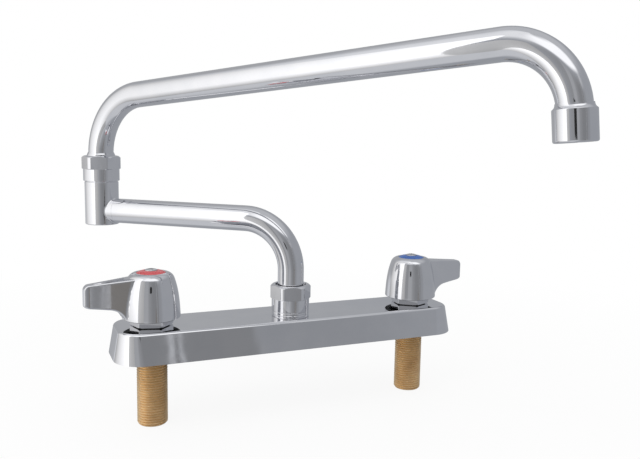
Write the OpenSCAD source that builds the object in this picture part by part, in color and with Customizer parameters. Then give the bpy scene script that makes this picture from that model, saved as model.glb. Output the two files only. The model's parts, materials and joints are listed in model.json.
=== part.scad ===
// Deck-mounted faucet: two quarter-turn valves on 8 inch centres and a double-jointed swing spout.
// X runs along the deck with hot on the left, -Y is the front and the deck stands on z = 0.

/* [Deck] */
// Distance between the two valve centres
centres = 203.2; // [180:0.1:260]
// Length of the deck past each valve centre, at the bottom
deck_end = 27.4; // [24:0.1:36]
// Width of the deck, front to back, at the bottom
deck_w = 58.6; // [54:0.1:76]
// Height of the deck
deck_h = 20; // [19:0.1:26]
// How far each long side leans in from the bottom to the top
side_draft = 5.7; // [1:0.1:7]
// How far each end leans in from the bottom to the top
end_draft = 3.4; // [1:0.1:6]
// Corner radius of the deck's plan, at the bottom
deck_corner_r = 20; // [14:0.5:24]
// Radius along the top edge
deck_edge_r = 2.2; // [0.8:0.1:3]
// Wall of the deck casting
deck_wall = 3; // [2:0.1:4]
// Roof of the deck casting
deck_roof = 3.5; // [2.5:0.1:4.5]
// Diameter of the spout boss where it shows on the deck
boss_d = 27.4; // [26:0.1:30]
// Height of the spout boss under the nut
boss_h = 2; // [1:0.1:5]
// Bore of the water way between the valves and the spout
gallery_d = 7; // [5:0.1:8]

/* [Inlet shanks] */
// Diameter of the threaded shanks
shank_d = 20.9; // [18:0.1:22]
// Length of the shanks below the deck
shank_len = 49.6; // [30:0.1:80]
// Bore of the shanks
shank_bore = 14; // [10:0.1:15]
// Depth of the shanks in the deck casting
shank_grip = 5.5; // [4:0.1:6]
// Chamfer at the lower end of the shanks
shank_chamfer = 1.2; // [0.4:0.1:2]
// Diameter of the plain end of the shanks, in the deck casting
shank_plain_d = 19.2; // [17:0.1:20]
// Length of that plain end below the deck
shank_relief = 1.5; // [0.5:0.1:3]

/* [Valves] */
// Bore of the valve chamber
chamber_d = 21; // [19:0.1:22]
// Web between the shank and the valve chamber
seat_web = 1; // [0.8:0.1:1.5]
// Width across flats of the bonnet
bonnet_flats = 25.4; // [24:0.1:27]
// Height of the bonnet's hexagon
bonnet_hex_h = 8.4; // [7:0.1:9]
// Direction of one corner of the hot bonnet, from +X
hot_bonnet_turn = -10; // [-30:1:30]
// Direction of one corner of the cold bonnet, from +X
cold_bonnet_turn = 29; // [-30:1:30]
// Thickness of the bonnet gasket
gasket_t = 0.6; // [0.4:0.1:1]
// Outer diameter of the ceramic discs
disc_d = 12.8; // [11:0.1:13]
// Thickness of each ceramic disc
disc_t = 2.5; // [2:0.1:2.7]
// Thickness of the seat seal
seal_t = 1.5; // [1:0.1:1.8]
// Diameter of the stem
stem_d = 9.5; // [8:0.1:10]
// Side of the square that carries the handle
square_w = 6.4; // [5:0.1:6.6]
// Section of the stem O-rings
o_ring_t = 1.3; // [1:0.1:1.5]

/* [Handles] */
// Direction of the hot lever when closed, seen from above, from +X
hot_dir = 189; // [150:1:200]
// Direction of the cold lever when closed, seen from above, from +X
cold_dir = 1; // [-20:1:30]
// Gap between the deck and the handle
handle_gap = 5.4; // [4:0.1:7]
// Height of the handle from its skirt to the rim of the index ring
handle_h = 31; // [30:0.1:36]
// Diameter of the handle's skirt
handle_d = 39.4; // [37:0.1:42]
// How much the handle's side curves in, each side, up to the shoulder
handle_lean = 2.7; // [2:0.1:4]
// Length of the lever from the stem's axis
lever_len = 45.4; // [40:0.1:60]
// Thickness of the lever at its tip
lever_t = 7.2; // [6:0.1:10]
// Radius of the hollow where the lever meets the skirt
lever_hollow_r = 12.5; // [11:0.1:14]
// Diameter of the coloured index ring
index_d = 19.6; // [17:0.1:21]
// Diameter of the handle screw's head
screw_head_d = 8.5; // [7:0.1:10]

/* [Swivel joints] */
// Width across flats of the swivel nuts
nut_flats = 27; // [26.5:0.1:28]
// Diameter over the nut's corners, which are turned down
nut_corner_d = 30.8; // [29.5:0.1:31]
// Diameter of the nut's round skirt
nut_skirt_d = 28.4; // [27.6:0.1:29]
// Height of the nut's round skirt
nut_skirt_h = 9; // [8:0.1:11]
// Height of the nut
nut_h = 19.6; // [19:0.1:24]
// Hole in the top of the nut
nut_hole_d = 22.4; // [22.2:0.1:22.8]
// Direction of one corner of the swivel nuts, from +X
nut_turn = 45.5; // [0:0.5:60]
// Bore that the spout nipples turn in
swivel_bore_d = 19.1; // [18:0.1:19.6]
// Diameter of the swivel body
swivel_d = 26.8; // [26.4:0.1:30]
// Distance from the lower arm's centre line down to the foot of the swivel body
swivel_drop = 11; // [10.5:0.1:16]
// Distance from the lower arm's centre line up to the shoulder of the swivel body
swivel_rise = 22.6; // [20:0.1:40]

/* [Spout] */
// Outer diameter of the spout tubes
tube_d = 19.05; // [18:0.05:19.1]
// Wall of the spout tubes
tube_wall = 1.2; // [0.8:0.1:1.6]
// Direction of the lower arm, seen from above, from +X
lower_dir = 138.4; // [100:0.1:180]
// Distance between the two swivel axes
lower_reach = 160; // [120:0.5:220]
// Bend radius of the lower arm, at its centre line
lower_bend_r = 36.3; // [32:0.1:50]
// Straight tube between the deck's nut and the lower bend
lower_neck = 10.1; // [5:0.1:40]
// Direction of the upper arm, seen from above, from +X
upper_dir = -56; // [-90:0.1:-20]
// Bend radius of the upper arm at the swivel, at its centre line
upper_bend_r = 46.2; // [38:0.1:60]
// Length of the upper arm's straight stretch
upper_straight = 277.2; // [150:0.1:400]
// How much the upper arm climbs, in degrees
upper_slope = 4.9; // [0:0.1:8]
// Bend radius at the outlet, at its centre line
end_bend_r = 38.1; // [34:0.1:50]
// How far the outlet leans out from straight down, in degrees
outlet_lean = 5.4; // [0:0.1:10]
// Straight tube between the upper nut and the upper bend
upper_neck = 0.8; // [0.6:0.1:30]

/* [Outlet] */
// Diameter of the outlet fitting
outlet_d = 23.5; // [22.6:0.1:26]
// Height of the outlet fitting's round part
outlet_h = 17.4; // [16:0.1:26]
// Height of the flare above the round part
outlet_cone_h = 3; // [2:0.1:4]

/* [Hidden] */
$fn = 96;

// Fits
thread_gap = 0.1;
running_gap = 0.05;
braze_gap = 0.05;
cut = 1;

// Heights in a valve, from the deck's foot upwards
chamber_z = shank_grip + seat_web;
fixed_disc_z = chamber_z + seal_t;
moving_disc_z = fixed_disc_z + disc_t + running_gap;
flange_z = moving_disc_z + disc_t;
flange_t = 2;
washer_z = flange_z + flange_t + running_gap;
washer_t = 0.5;
neck_z = washer_z + washer_t;
gallery_z = chamber_z + 4.5;
bonnet_z = deck_h + gasket_t;
bonnet_top_z = bonnet_z + bonnet_hex_h;
bonnet_neck_h = 4;
handle_z = deck_h + handle_gap;
shoulder_z = handle_z + 10.6;
square_h = 11;
rim_z = handle_z + handle_h;

// Radii in a valve
housing_r = disc_d / 2 + 0.4;
sleeve_r = housing_r + 1.7;
bonnet_thread_r = chamber_d / 2 - thread_gap;
stem_r = stem_d / 2;
tongue_w = 3;
tongue_h = 1;
port_spread = 70;
port_r = 1.6;
passage_spread = 74;
passage_r = 1.8;
groove_r = stem_r - o_ring_t + 0.05;

// Heights in a swivel joint, from the nut's foot upwards
neck_h = nut_skirt_h + 0.5;
slip_t = 0.8;
nut_roof = 4;
collar_h = nut_h - nut_roof - neck_h - 2 * slip_t - 2 * running_gap;
nut_thread_r = nut_skirt_d / 2 - 2;
neck_r = nut_thread_r - thread_gap;
nipple_r = swivel_bore_d / 2 - running_gap;
nipple_len = 17;
water_r = nipple_r - 1.9;

// Places along the spout
nut_z = deck_h + boss_h;
lower_bend_z = nut_z + nut_h + lower_neck;
arm_z = lower_bend_z + lower_bend_r;
lower_straight = lower_reach - lower_bend_r;
joint_gap = 0.6;
swivel_foot_z = arm_z - swivel_drop;
swivel_top_z = arm_z + swivel_rise;
upper_nut_z = swivel_top_z + joint_gap;
upper_bend_z = upper_nut_z + nut_h + upper_neck;
tube_r = tube_d / 2;
tube_bore_r = tube_r - tube_wall;
upper_turn = 90 - upper_slope;
end_turn = 90 + upper_slope - outlet_lean;
tube_stop = 5;
end_stub = 5;

// Points of a round stretch of an outline
function arc(x, y, r, from, to, steps = 6) =
    [for (i = [0:steps]) let (a = from + (to - from) * i / steps) [x + r * cos(a), y + r * sin(a)]];

// Outline of a rectangle with round corners, at one height
function round_rect(half_x, half_y, r, z, steps = 6) =
    [for (q = [0:3], i = [0:steps])
        let (a = 90 * q + 90 * i / steps,
             sx = (q == 0 || q == 3) ? 1 : -1,
             sy = (q < 2) ? 1 : -1)
        [sx * (half_x - r) + r * cos(a), sy * (half_y - r) + r * sin(a), z]];

// Closed solid through outlines that all have the same number of points, given from the bottom upwards
module loft(rings) {
    n = len(rings[0]);
    last = len(rings) - 1;
    points = [for (ring = rings) each ring];
    sides = [for (j = [0:last - 1], i = [0:n - 1])
        let (k = (i + 1) % n, a = j * n + i, b = j * n + k)
        each [[a, a + n, b + n], [a, b + n, b]]];
    foot = [[for (i = [0:n - 1]) i]];
    head = [[for (i = [n - 1:-1:0]) last * n + i]];
    polyhedron(points, concat(foot, sides, head));
}

module pipe(outer_r, inner_r, h) {
    difference() {
        cylinder(h = h, r = outer_r);
        translate([0, 0, -cut]) cylinder(h = h + 2 * cut, r = inner_r);
    }
}

module turned(outline) {
    rotate_extrude() polygon(outline);
}

// Rubber ring squeezed in its groove, at height z
module o_ring(inner_r, t, z) {
    soft = t * 0.28;
    translate([0, 0, z - t / 2]) turned([
        [inner_r, soft], [inner_r + soft, 0], [inner_r + t - soft, 0], [inner_r + t, soft],
        [inner_r + t, t - soft], [inner_r + t - soft, t], [inner_r + soft, t], [inner_r, t - soft]]);
}

module at_hot() {
    translate([-centres / 2, 0, 0]) children();
}

module at_cold() {
    translate([centres / 2, 0, 0]) children();
}

// The deck casting

function deck_outline(z, inset, r_inset = 0) =
    let (t = z / deck_h)
    round_rect(centres / 2 + deck_end - end_draft * t - inset,
        deck_w / 2 - side_draft * t - inset,
        deck_corner_r - side_draft * t - inset + r_inset, z);

function deck_shell() =
    let (foot_r = 0.8, steps = 4)
    concat([deck_outline(0, foot_r), deck_outline(foot_r, 0)],
        [for (i = [0:steps]) let (a = 90 * i / steps)
            deck_outline(deck_h - deck_edge_r * (1 - sin(a)), deck_edge_r * (1 - cos(a)))]);

module deck_body() {
    boss_wall = 4.5;
    gallery_r = gallery_d / 2 + 2.5;
    well_r = swivel_bore_d / 2 - 0.6;
    color("silver") difference() {
        union() {
            difference() {
                loft(deck_shell());
                loft([deck_outline(-cut, deck_wall), deck_outline(deck_h - deck_roof, deck_wall)]);
            }
            for (side = [-1, 1]) translate([side * centres / 2, 0, 0])
                cylinder(h = deck_h - deck_roof / 2, r = chamber_d / 2 + boss_wall);
            cylinder(h = deck_h - deck_roof / 2, r = boss_d / 2 - 0.2);
            translate([0, 0, deck_h - deck_roof]) cylinder(h = deck_roof + boss_h, r = boss_d / 2);
            translate([0, 0, nut_z - cut]) cylinder(h = neck_h + cut, r = neck_r);
            translate([-centres / 2, 0, gallery_z]) rotate([0, 90, 0]) cylinder(h = centres, r = gallery_r);
        }
        for (side = [-1, 1]) translate([side * centres / 2, 0, 0]) {
            translate([0, 0, -cut]) cylinder(h = shank_grip + cut, r = shank_plain_d / 2 + braze_gap);
            cylinder(h = deck_h, r = disc_d / 2 - 0.8);
            translate([0, 0, chamber_z]) cylinder(h = deck_h, r = chamber_d / 2);
        }
        translate([-centres / 2, 0, gallery_z]) rotate([0, 90, 0]) cylinder(h = centres, r = gallery_d / 2);
        translate([0, 0, chamber_z]) cylinder(h = deck_h, r = well_r);
        translate([0, 0, nut_z + neck_h - nipple_len - 0.5])
            cylinder(h = nipple_len + cut + 0.5, r = swivel_bore_d / 2);
    }
}

// The inlet shanks

module shank() {
    r = shank_d / 2;
    plain_r = shank_plain_d / 2;
    color("goldenrod") difference() {
        turned([[0, -shank_len], [r - shank_chamfer, -shank_len], [r, -shank_len + shank_chamfer],
            [r, -shank_relief], [plain_r, -shank_relief], [plain_r, shank_grip], [0, shank_grip]]);
        translate([0, 0, -shank_len - cut]) cylinder(h = shank_len + shank_grip + 2 * cut, r = shank_bore / 2);
    }
}

// The valves

// Six-sided prism with its corners chamfered above and below
module hexagon(flats, corner_r, h, chamfer_top, chamfer_foot = 0) {
    intersection() {
        cylinder(h = h, r = flats / 2 / cos(30), $fn = 6);
        turned([[0, 0], [corner_r - chamfer_foot * 1.7, 0], [corner_r, chamfer_foot],
            [corner_r, h - chamfer_top], [corner_r - chamfer_top * 1.7, h], [0, h]]);
    }
}

module bonnet_gasket() {
    color("dimgray") translate([0, 0, deck_h])
        pipe(bonnet_flats / 2 - 0.6, bonnet_thread_r + 0.1, gasket_t);
}

module bonnet(lever_dir, turn) {
    foot_z = chamber_z + 0.2;
    thread_z = moving_disc_z + disc_t + 0.8;
    color("silver") difference() {
        union() {
            translate([0, 0, foot_z]) cylinder(h = thread_z - foot_z, r = sleeve_r);
            translate([0, 0, thread_z]) cylinder(h = bonnet_z - thread_z, r = bonnet_thread_r);
            translate([0, 0, bonnet_z]) rotate([0, 0, turn])
                hexagon(bonnet_flats, bonnet_flats / 2 / cos(30) - 0.1, bonnet_hex_h, 1);
            translate([0, 0, bonnet_top_z - cut]) cylinder(h = bonnet_neck_h + cut, r = stem_r + 3.4);
        }
        translate([0, 0, foot_z - cut]) cylinder(h = neck_z - foot_z + cut, r = housing_r);
        translate([0, 0, foot_z]) cylinder(h = deck_h + 20, r = stem_r + running_gap);
        // Side windows at the moving disc
        translate([-sleeve_r - cut, -4, moving_disc_z]) cube([2 * (sleeve_r + cut), 8, disc_t]);
        // Notches for the fixed disc's ears
        rotate([0, 0, lever_dir]) translate([-sleeve_r - cut, -tongue_w / 2 - 0.1, foot_z - cut])
            cube([2 * (sleeve_r + cut), tongue_w + 0.2, fixed_disc_z + disc_t - foot_z + cut]);
    }
}

module seat_seal() {
    color("black") translate([0, 0, chamber_z]) pipe(disc_d / 2 - 0.2, disc_d / 2 - 1.4, seal_t);
}

// Wedge of a disc between two radii, centred on +X
module wedge(inner_r, outer_r, spread, h) {
    rotate([0, 0, -spread / 2]) rotate_extrude(angle = spread)
        translate([inner_r, 0]) square([outer_r - inner_r, h]);
}

module fixed_disc(lever_dir) {
    r = disc_d / 2;
    color("white") translate([0, 0, fixed_disc_z]) rotate([0, 0, lever_dir]) difference() {
        union() {
            cylinder(h = disc_t, r = r);
            translate([-sleeve_r + 0.2, -tongue_w / 2, 0]) cube([2 * sleeve_r - 0.4, tongue_w, disc_t]);
        }
        for (a = [0, 180]) rotate([0, 0, a]) translate([0, 0, -cut]) wedge(port_r, r - port_r, port_spread, disc_t + 2 * cut);
    }
}

module moving_disc() {
    r = disc_d / 2;
    color("white") translate([0, 0, moving_disc_z]) difference() {
        cylinder(h = disc_t, r = r);
        for (a = [90, 270]) rotate([0, 0, a]) translate([0, 0, -cut])
            wedge(passage_r, r + cut, passage_spread, disc_t + 2 * cut);
        translate([-r - cut, -tongue_w / 2, disc_t - tongue_h]) cube([2 * (r + cut), tongue_w, tongue_h + cut]);
    }
}

module thrust_washer() {
    color("ivory") translate([0, 0, washer_z]) pipe(disc_d / 2, stem_r + 0.2, washer_t);
}

module stem() {
    flange_r = disc_d / 2;
    ring_z = [bonnet_z + 1.5, bonnet_z + 5.5];
    color("darkgoldenrod") difference() {
        union() {
            translate([0, 0, flange_z]) cylinder(h = flange_t, r = flange_r);
            translate([-flange_r + 0.4, -tongue_w / 2, flange_z - tongue_h])
                cube([2 * flange_r - 0.8, tongue_w, tongue_h + cut]);
            translate([0, 0, flange_z]) cylinder(h = shoulder_z - flange_z, r = stem_r);
            translate([-square_w / 2, -square_w / 2, shoulder_z - cut]) cube([square_w, square_w, square_h + cut]);
        }
        for (z = ring_z) translate([0, 0, z - o_ring_t / 2]) pipe(stem_r + cut, groove_r, o_ring_t);
        translate([0, 0, shoulder_z - 2]) cylinder(h = square_h + 2 + cut, r = 2.05);
    }
}

module stem_o_rings() {
    slack = 0.02;
    color("black") for (z = [bonnet_z + 1.5, bonnet_z + 5.5]) o_ring(groove_r + slack, o_ring_t - 2 * slack, z);
}

// The handles, modelled with the lever along +X

// Radius of the handle at height z over its skirt, up to the shoulder
function handle_side(z) = handle_d / 2 - 0.05 * z - handle_lean * pow(z / (handle_h - 4), 3);

// Outline of the handle: round foot of the skirt, curved side, round shoulder and rim
function handle_outline() =
    let (side_steps = 9, top_steps = 6, foot_r = 0.6, bend_r = 5.8, side_h = handle_h - 4, from = 19, to = 80,
         mid_r = handle_side(side_h) - bend_r * cos(from),
         mid_z = side_h - bend_r * sin(from))
    concat(
        [[0, 0], [handle_side(0) - foot_r, 0]],
        [for (i = [0:side_steps]) let (z = foot_r + (side_h - foot_r) * i / side_steps) [handle_side(z), z]],
        [for (i = [1:top_steps]) let (a = from + (to - from) * i / top_steps)
            [mid_r + bend_r * cos(a), mid_z + bend_r * sin(a)]],
        [[index_d / 2 + 0.4, handle_h], [0, handle_h]]);

// Cross section of the lever at x, with round edges
function lever_section(x, low, high, half_t, r) =
    [for (q = [0:3], i = [0:3])
        let (a = 90 * q + 30 * i,
             sy = (q == 0 || q == 3) ? 1 : -1,
             sz = (q < 2) ? 1 : -1,
             mid = (high + low) / 2,
             half_h = (high - low) / 2)
        [x, sy * (half_t - r) + r * cos(a), mid + sz * (half_h - r) + r * sin(a)]];

// Top and underside of the lever, over the skirt's foot
lever_top_z = 27.7;
lever_fall = 0.066;
lever_rise = 0.148;
hollow_x = handle_d / 2 + lever_hollow_r - 1.2;
hollow_z = -3.8;
hollow_end = atan(1 / lever_rise);
straight_x = hollow_x - lever_hollow_r * cos(hollow_end);
straight_z = hollow_z + lever_hollow_r * sin(hollow_end);

function lever_top(x) = lever_top_z - lever_fall * (x - 21);

function lever_low(x) = straight_z + lever_rise * (x - straight_x);

function lever_half(x) = lever_t / 2 + 0.08 * (lever_len - x);

function lever_sections() =
    let (edge_r = 1.3, tip_r = 3.4, steps = 5, foot_z = 1,
         hollow_start = asin((foot_z - hollow_z) / lever_hollow_r))
    concat(
        [lever_section(11, foot_z, lever_top(11), lever_half(11), edge_r)],
        [for (i = [0:steps])
            let (a = hollow_start + (hollow_end - hollow_start) * i / steps, x = hollow_x - lever_hollow_r * cos(a))
            lever_section(x, hollow_z + lever_hollow_r * sin(a), lever_top(x), lever_half(x), edge_r)],
        [for (i = [0:4]) let (a = 90 * i / 4, x = lever_len - tip_r * (1 - sin(a)))
            lever_section(x, lever_low(x) + 1.2 * (1 - cos(a)), lever_top(x) - tip_r * (1 - cos(a)),
                lever_half(x) - 1 * (1 - cos(a)), edge_r)]);

module handle() {
    skirt_r = bonnet_flats / 2 / cos(30) + 0.7;
    skirt_h = bonnet_top_z - handle_z + 1.6;
    color("silver") translate([0, 0, handle_z]) difference() {
        union() {
            turned(handle_outline());
            loft(lever_sections());
        }
        // Room for the bonnet under the skirt
        translate([0, 0, -cut]) cylinder(h = skirt_h + cut, r = skirt_r);
        translate([0, 0, skirt_h - 0.01]) cylinder(h = bonnet_neck_h - 0.6, r1 = skirt_r, r2 = stem_r + 4.4);
        // Seat on the stem's shoulder, square hole and screw hole
        cylinder(h = shoulder_z - handle_z, r = stem_r + 0.3);
        translate([-square_w / 2 - 0.05, -square_w / 2 - 0.05, shoulder_z - handle_z - cut])
            cube([square_w + 0.1, square_w + 0.1, square_h + cut + 0.5]);
        cylinder(h = handle_h + cut, r = 2.3);
        // Recess of the index ring
        translate([0, 0, handle_h - 3]) cylinder(h = 3 + cut, r = index_d / 2 + 0.05);
    }
}

module index_ring(shade) {
    r = index_d / 2;
    head_r = screw_head_d / 2 + 0.1;
    crown = 1.5;
    color(shade) translate([0, 0, rim_z - 3]) turned(concat(
        [[2.3, 0], [r, 0], [r, 2.7]],
        [for (i = [1:4]) let (x = r - (r - head_r) * i / 4) [x, 2.7 + (3.2 - 2.7 + crown) * sin(90 * i / 4)]],
        [[head_r, 2], [2.3, 2]]));
}

module handle_screw() {
    r = screw_head_d / 2;
    head_h = 3;
    dome_h = 0.9;
    color("gainsboro") translate([0, 0, rim_z - 1]) difference() {
        turned(concat([[0, -12], [2, -12], [2, 0], [r, 0], [r, head_h]],
            [for (i = [1:5]) [r * cos(90 * i / 5), head_h + dome_h * sin(90 * i / 5)]]));
        // Cross recess
        for (a = [0, 90]) rotate([0, 0, a]) translate([-2.2, -0.4, head_h + dome_h - 1.2]) cube([4.4, 0.8, 2]);
    }
}

// The swivel joints

module swivel_nut_at(z) {
    skirt_r = nut_skirt_d / 2;
    corner_r = nut_corner_d / 2;
    hex_h = nut_h - nut_skirt_h;
    color("silver") translate([0, 0, z]) difference() {
        union() {
            turned(concat([[0, 0], [skirt_r - 0.5, 0], [skirt_r, 0.5], [skirt_r, nut_skirt_h + 1], [0, nut_skirt_h + 1]]));
            translate([0, 0, nut_skirt_h]) rotate([0, 0, nut_turn]) hexagon(nut_flats, corner_r, hex_h, 1.8, 0.8);
        }
        translate([0, 0, -cut]) cylinder(h = nut_h - nut_roof + cut, r = nut_thread_r);
        cylinder(h = nut_h + cut, r = nut_hole_d / 2);
    }
}

module thrust_washer_at(z) {
    color("ivory") translate([0, 0, z + neck_h]) pipe(nut_thread_r - 0.4, nipple_r + 0.15, slip_t);
}

module slip_ring_at(z) {
    color("ivory") translate([0, 0, z + nut_h - nut_roof - slip_t]) pipe(nut_thread_r - 0.1, nut_hole_d / 2 - 0.1, slip_t);
}

// Turned nipple that the tube is brazed into; z is the foot of its nut
module nipple_at(z, socket_top, cone_h) {
    collar_z = neck_h + slip_t + running_gap;
    socket_r = nut_hole_d / 2 - 0.4;
    collar_r = nut_thread_r - 0.4;
    stop_z = collar_z + 0.6;
    foot_z = neck_h - nipple_len;
    color("silver") translate([0, 0, z]) difference() {
        turned([[0, foot_z], [nipple_r - 0.6, foot_z], [nipple_r, foot_z + 0.6], [nipple_r, collar_z],
            [collar_r, collar_z], [collar_r, collar_z + collar_h], [socket_r, collar_z + collar_h],
            [socket_r, socket_top], [tube_r + 0.35, socket_top + cone_h], [0, socket_top + cone_h]]);
        translate([0, 0, foot_z - cut]) cylinder(h = nipple_len + 20, r = water_r);
        translate([0, 0, stop_z]) cylinder(h = nut_h + 20, r = tube_r + braze_gap);
        for (h = nipple_ring_z()) translate([0, 0, h - 0.9]) pipe(nipple_r + cut, nipple_r - 1.25, 1.8);
    }
}

// Middle of each O-ring groove, over the nut's foot
function nipple_ring_z() = [neck_h - nipple_len + 3.5, neck_h - nipple_len + 9];

module nipple_o_rings_at(z) {
    color("black") for (h = nipple_ring_z()) o_ring(nipple_r - 1.25, 1.25, z + h);
}

module at_swivel() {
    rotate([0, 0, lower_dir]) translate([lower_reach, 0, 0]) rotate([0, 0, -lower_dir]) children();
}

module swivel_body() {
    r = swivel_d / 2;
    floor_t = 3.5;
    inner_r = swivel_bore_d / 2 - 0.9;
    nipple_foot_z = upper_nut_z + neck_h - nipple_len;
    color("silver") at_swivel() difference() {
        union() {
            turned([[0, swivel_foot_z], [r - 0.8, swivel_foot_z], [r, swivel_foot_z + 0.8],
                [r, swivel_top_z - 0.5], [r - 0.5, swivel_top_z], [0, swivel_top_z]]);
            translate([0, 0, swivel_top_z - cut]) cylinder(h = joint_gap + neck_h + cut, r = neck_r);
        }
        translate([0, 0, swivel_foot_z + floor_t]) cylinder(h = nipple_foot_z - swivel_foot_z, r = inner_r);
        translate([0, 0, nipple_foot_z - 0.5]) cylinder(h = nipple_len + cut + 0.5, r = swivel_bore_d / 2);
        translate([0, 0, arm_z]) rotate([0, 0, lower_dir + 180]) rotate([0, 90, 0])
            translate([0, 0, tube_stop]) cylinder(h = r, r = tube_r + braze_gap);
    }
}

// The spout tubes

// Bend of tube that starts along +Z and curves towards +X
module tube_bend(bend_r, turn) {
    translate([bend_r, 0, 0]) mirror([1, 0, 0]) rotate([90, 0, 0])
        rotate_extrude(angle = turn) translate([bend_r, 0]) difference() {
            circle(r = tube_r);
            circle(r = tube_bore_r);
        }
}

// Children go on from the end of such a bend
module after_bend(bend_r, turn) {
    translate([bend_r, 0, 0]) rotate([0, turn, 0]) translate([-bend_r, 0, 0]) children();
}

// Foot of a tube in its nipple, over the nut's foot
tube_foot = neck_h + slip_t + running_gap + 0.6;

module lower_tube() {
    $fn = 72;
    foot_z = nut_z + tube_foot;
    color("silver") rotate([0, 0, lower_dir]) {
        translate([0, 0, foot_z]) pipe(tube_r, tube_bore_r, lower_bend_z - foot_z);
        translate([0, 0, lower_bend_z]) {
            tube_bend(lower_bend_r, 90);
            after_bend(lower_bend_r, 90) pipe(tube_r, tube_bore_r, lower_straight - tube_stop);
        }
    }
}

// End of a bent tube, dressed inside and out to go in its socket
module spigot(h) {
    dressing = 0.1;
    root = 0.3;
    translate([0, 0, -root]) pipe(tube_r - dressing, tube_bore_r + dressing, h + root);
}

// Children stand at the foot of the upper arm's straight stretch, with +Z along the flow
module at_upper_arm() {
    at_swivel() rotate([0, 0, upper_dir]) translate([0, 0, upper_bend_z])
        after_bend(upper_bend_r, upper_turn) children();
}

module upper_tube() {
    $fn = 60;
    neck = upper_bend_z - upper_nut_z - tube_foot;
    color("silver") at_upper_arm() {
        pipe(tube_r, tube_bore_r, upper_straight);
        mirror([0, 0, 1]) {
            tube_bend(upper_bend_r, upper_turn);
            after_bend(upper_bend_r, upper_turn) spigot(neck);
        }
        translate([0, 0, upper_straight]) {
            tube_bend(end_bend_r, end_turn);
            after_bend(end_bend_r, end_turn) spigot(end_stub);
        }
    }
}

// Children stand at the end of the last bend, with +Z along the flow
module at_outlet() {
    at_upper_arm() translate([0, 0, upper_straight]) after_bend(end_bend_r, end_turn) children();
}

// The outlet fitting and what it holds

insert_r = outlet_d / 2 - 2;
washer_z_out = end_stub;
washer_t_out = 1.2;

module outlet_body() {
    r = outlet_d / 2;
    flare_r = tube_r + 0.5;
    color("silver") at_outlet() difference() {
        turned([[0, -outlet_cone_h], [flare_r, -outlet_cone_h], [flare_r + 0.25, -outlet_cone_h / 2],
            [r - 0.6, -0.4], [r, 0.2], [r, outlet_h - 1.2], [r - 0.35, outlet_h - 0.35],
            [r - 1.2, outlet_h], [0, outlet_h]]);
        // The flare clears the end of the bend, and the socket holds the spigot
        translate([0, 0, -outlet_cone_h - cut]) cylinder(h = outlet_cone_h + cut + 0.5, r = tube_r + 0.2);
        cylinder(h = outlet_h + cut, r = tube_r);
        translate([0, 0, washer_z_out]) cylinder(h = outlet_h, r = insert_r + 0.05);
    }
}

module outlet_washer() {
    color("black") at_outlet() translate([0, 0, washer_z_out]) pipe(insert_r - 0.2, tube_bore_r, washer_t_out);
}

module flow_straightener() {
    z = washer_z_out + washer_t_out;
    h = outlet_h - z - 1.4;
    color("gainsboro") at_outlet() translate([0, 0, z]) difference() {
        cylinder(h = h, r = insert_r);
        translate([0, 0, -cut]) cylinder(h = h - 1.5 + cut, r = insert_r - 1.2);
        for (ring = [[0, 1], [3.1, 6], [6.1, 12]]) for (i = [1:ring[1]])
            rotate([0, 0, 360 * i / ring[1]]) translate([ring[0], 0, 0]) cylinder(h = h + cut, r = 0.9, $fn = 24);
    }
}

module outlet_screen() {
    z = washer_z_out + washer_t_out;
    color("gray") at_outlet() translate([0, 0, z]) pipe(insert_r - 1.3, 1.2, 0.8);
}

deck_body();
at_hot() shank();  // hot_shank
at_cold() shank();  // cold_shank
at_hot() bonnet_gasket();  // hot_bonnet_gasket
at_cold() bonnet_gasket();  // cold_bonnet_gasket
at_hot() bonnet(hot_dir, hot_bonnet_turn);  // hot_bonnet
at_cold() bonnet(cold_dir, cold_bonnet_turn);  // cold_bonnet
at_hot() seat_seal();  // hot_seat_seal
at_cold() seat_seal();  // cold_seat_seal
at_hot() fixed_disc(hot_dir);  // hot_fixed_disc
at_cold() fixed_disc(cold_dir);  // cold_fixed_disc
at_hot() thrust_washer();  // hot_thrust_washer
at_cold() thrust_washer();  // cold_thrust_washer
at_hot() rotate([0, 0, hot_dir]) moving_disc();  // hot_moving_disc
at_cold() rotate([0, 0, cold_dir]) moving_disc();  // cold_moving_disc
at_hot() rotate([0, 0, hot_dir]) stem();  // hot_stem
at_cold() rotate([0, 0, cold_dir]) stem();  // cold_stem
at_hot() stem_o_rings();  // hot_stem_o_rings
at_cold() stem_o_rings();  // cold_stem_o_rings
at_hot() rotate([0, 0, hot_dir]) handle();  // hot_handle
at_cold() rotate([0, 0, cold_dir]) handle();  // cold_handle
at_hot() index_ring("firebrick");  // hot_index_ring
at_cold() index_ring("royalblue");  // cold_index_ring
at_hot() handle_screw();  // hot_handle_screw
at_cold() handle_screw();  // cold_handle_screw
swivel_nut_at(nut_z);  // spout_nut
thrust_washer_at(nut_z);  // lower_thrust_washer
slip_ring_at(nut_z);  // lower_slip_ring
nipple_at(nut_z, nut_h - nut_roof + 1, 0.6);  // lower_nipple
nipple_o_rings_at(nut_z);  // lower_o_rings
lower_tube();
swivel_body();
at_swivel() swivel_nut_at(upper_nut_z);  // swivel_nut
at_swivel() thrust_washer_at(upper_nut_z);  // upper_thrust_washer
at_swivel() slip_ring_at(upper_nut_z);  // upper_slip_ring
at_swivel() nipple_at(upper_nut_z, nut_h + 0.4, 2.2);  // upper_nipple
at_swivel() nipple_o_rings_at(upper_nut_z);  // upper_o_rings
upper_tube();
outlet_body();
outlet_washer();
flow_straightener();
outlet_screen();
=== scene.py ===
# %% [markdown]
# # A deck-mounted faucet, dressed in Blender
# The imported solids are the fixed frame. Nearly all that shows is chrome, and chrome shows its surroundings
# and not a colour of its own, so the lesson is about clean curved surfaces and about what they mirror.
# Each chrome piece is modelled again with smooth faces over its solid, and the solids that stay get a
# finish.

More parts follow.
